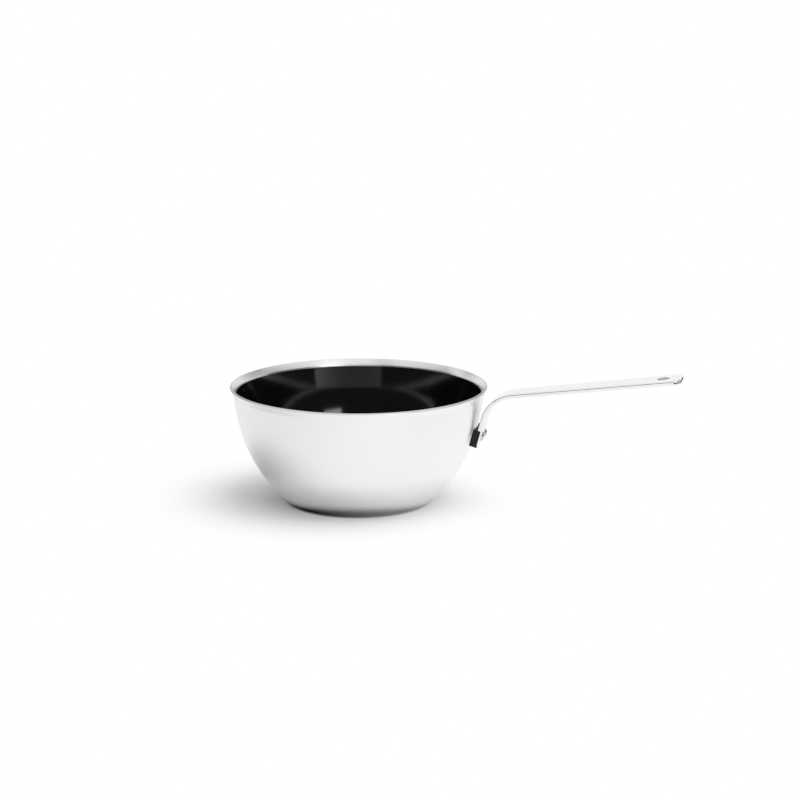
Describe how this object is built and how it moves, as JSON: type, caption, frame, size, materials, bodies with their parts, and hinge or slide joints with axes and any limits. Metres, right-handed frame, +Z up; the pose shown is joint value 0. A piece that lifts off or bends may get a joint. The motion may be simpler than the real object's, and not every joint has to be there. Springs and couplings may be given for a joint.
{
  "type": "wok",
  "caption": "Small deep flat-based wok: clad steel bowl with a flared lip and a black non-stick inside, and a flat bent steel handle riveted on over a black insulating spacer.",
  "frame": {"origin": "middle of the flat base, on the surface that the wok stands on", "axes": "+Z up along the bowl's axis, +X along the handle, away from the bowl"},
  "size_m": [0.4211, 0.24, 0.1288],
  "materials": {
    "satin_steel": "satin, turned lines",
    "aluminium_core": "rolled",
    "lip_steel": "bright, turned lines",
    "black_coating": "glossy black",
    "handle_steel": "bright, polished edges",
    "black_spacer": "matt black moulding",
    "rivet_steel": "polished"
  },
  "bodies": {
    "root": {"bowl_outer_skin": "satin_steel", "bowl_core": "aluminium_core", "bowl_inner_skin": "lip_steel", "nonstick_coating": "black_coating", "handle_bar": "handle_steel", "handle_spacer": "black_spacer", "rivet_left": "rivet_steel", "rivet_right": "rivet_steel"}
  },
  "joints": []
}
